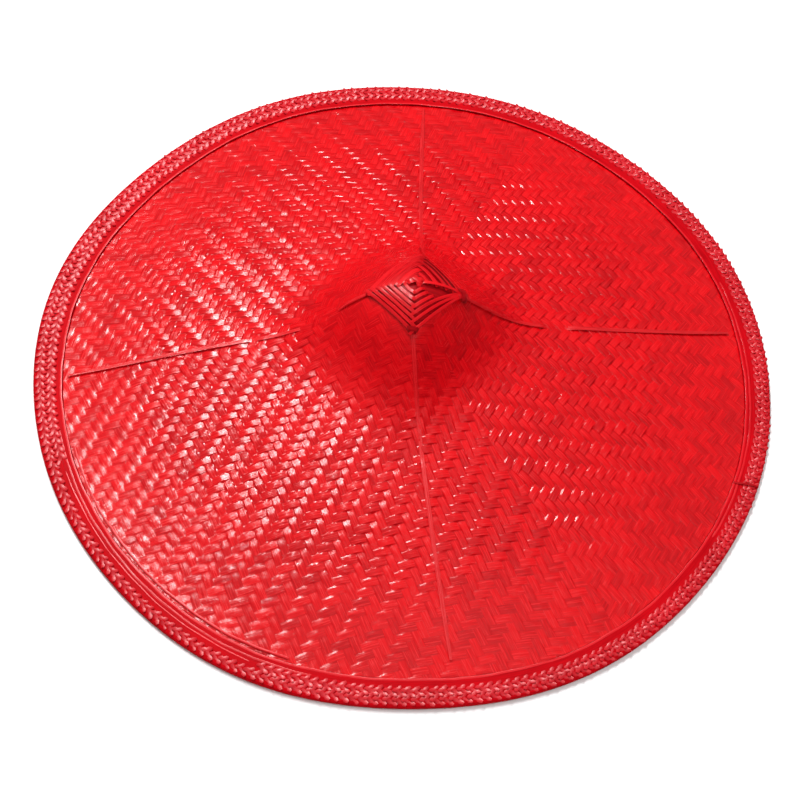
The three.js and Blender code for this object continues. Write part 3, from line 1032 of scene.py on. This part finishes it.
cap_lacquer = lacquered_splint("cap_lacquer", (0.40, 0.0012, 0.004), (0.70, 0.003, 0.008), 0.28, 0.36)
base = placed("crown_cap_base", cap_base())
# The mound shows only in the hollows between the cap's splints, and its dark lacquer is painted shade there
base.data.materials.append(pooled_lacquer)
wound = swept_splints("crown_cap_splints", cap_splints() + short_ties(CAP_TIES), cap_lacquer,
                      thickness=CAP_SPLINT_THICKNESS, flat_share=0.62, twist=0.5, twist_scale=80.0, seed=2.0)
# The corner knots take the dark lacquer too, as painted shade for the shadowed hollows at the cap's corners
knots = swept_splints("crown_cap_knots", short_ties(CORNER_KNOTS), pooled_lacquer,
                      thickness=CAP_KNOT_THICKNESS, flat_share=0.5, twist=0.3, twist_scale=80.0, seed=4.0)
for piece in (base, wound, knots):
    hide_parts("crown_cap")
    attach(piece, "root")

# The room: a pale floor, and daylight from behind at the left, with a wide lamp in front at
# the right that only fills the shade
FLOOR_HALF = 4.0
floor_mesh = bpy.data.meshes.new("floor")
floor_corners = [(x * FLOOR_HALF, y * FLOOR_HALF, 0) for x, y in ((-1, -1), (1, -1), (1, 1), (-1, 1))]
floor_mesh.from_pydata(floor_corners, [], [(0, 1, 2, 3)])
floor = placed("floor", floor_mesh)
floor_paint = bpy.data.materials.new("floor_paint")
floor_paint.use_nodes = True
floor_paint.node_tree.nodes["Principled BSDF"].inputs["Base Color"].default_value = (0.88, 0.88, 0.88, 1)
floor_paint.node_tree.nodes["Principled BSDF"].inputs["Roughness"].default_value = 0.9
floor_mesh.materials.append(floor_paint)
floor.visible_glossy = False
floor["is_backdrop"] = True

world = bpy.data.worlds.new("room")
bpy.context.scene.world = world
world.use_nodes = True
room = world.node_tree
# Brighter overhead and behind the hat than in front of it
direction = add_node(room, "ShaderNodeTexCoord").outputs["Generated"]
towards = add_node(
    room, "ShaderNodeVectorMath", {0: direction, 1: (-0.1, 0.2, 0.97)}, operation="DOT_PRODUCT"
)
glow = add_node(
    room,
    "ShaderNodeMapRange",
    {"Value": towards.outputs["Value"], "From Min": 0.2, "From Max": 0.95, "To Min": 0.02, "To Max": 0.37},
)
room.nodes["Background"].inputs["Color"].default_value = (1, 1, 1, 1)
room.links.new(glow.outputs[0], room.nodes["Background"].inputs["Strength"])


def soft_light(name, azimuth, elevation, distance, width, height, power):
    """A flat lamp that faces the hat; the azimuth runs anticlockwise from +X."""
    data = bpy.data.lights.new(name, "AREA")
    data.shape = "RECTANGLE"
    data.size = width
    data.size_y = height
    data.energy = power
    lamp = placed(name, data)
    level = math.cos(math.radians(elevation))
    away = Vector((*(heading(azimuth) * level), math.sin(math.radians(elevation))))
    lamp.location = away * distance
    lamp.rotation_mode = "QUATERNION"
    lamp.rotation_quaternion = away.to_track_quat("Z", "Y")
    return lamp


soft_light("window", 118, 55, 2.2, 0.28, 0.42, 28)
soft_light("skylight", 139, 66, 2.2, 0.36, 0.22, 20)
soft_light("fill", 310, 66, 2.6, 1.6, 1.6, 31).visible_glossy = False

# The camera stands in front of the hat and above it, at the photo's angle
CAMERA_DISTANCE = 1.155
CAMERA_ELEVATION = 57.12
CAMERA_ROLL = 4.975
CAMERA_LENS = 91.25
CAMERA_AIM_HEIGHT = 0.0019
# How far the view is shifted, in pixels of the photo, and the photo's width in them
CAMERA_SHIFT = (-3.8, -31.5)
PHOTO_WIDTH = 800
camera_data = bpy.data.cameras.new("camera")
camera_data.sensor_width = 36
camera_data.lens = CAMERA_LENS
camera_data.shift_x = CAMERA_SHIFT[0] / PHOTO_WIDTH
camera_data.shift_y = CAMERA_SHIFT[1] / PHOTO_WIDTH
camera = placed("camera", camera_data)
up_angle, roll = math.radians(CAMERA_ELEVATION), math.radians(CAMERA_ROLL)
back = Vector((0, -math.cos(up_angle), math.sin(up_angle)))
right = Vector((1, 0, 0))
upwards = back.cross(right)
turned_right = right * math.cos(roll) + upwards * math.sin(roll)
turned_up = upwards * math.cos(roll) - right * math.sin(roll)
turned = Matrix((turned_right, turned_up, back)).transposed()
eye = Vector((0, 0, CAMERA_AIM_HEIGHT)) + back * CAMERA_DISTANCE
camera.matrix_world = Matrix.Translation(eye) @ turned.to_4x4()
bpy.context.scene.camera = camera
bpy.context.scene.view_settings.view_transform = "Standard"

low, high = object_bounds()
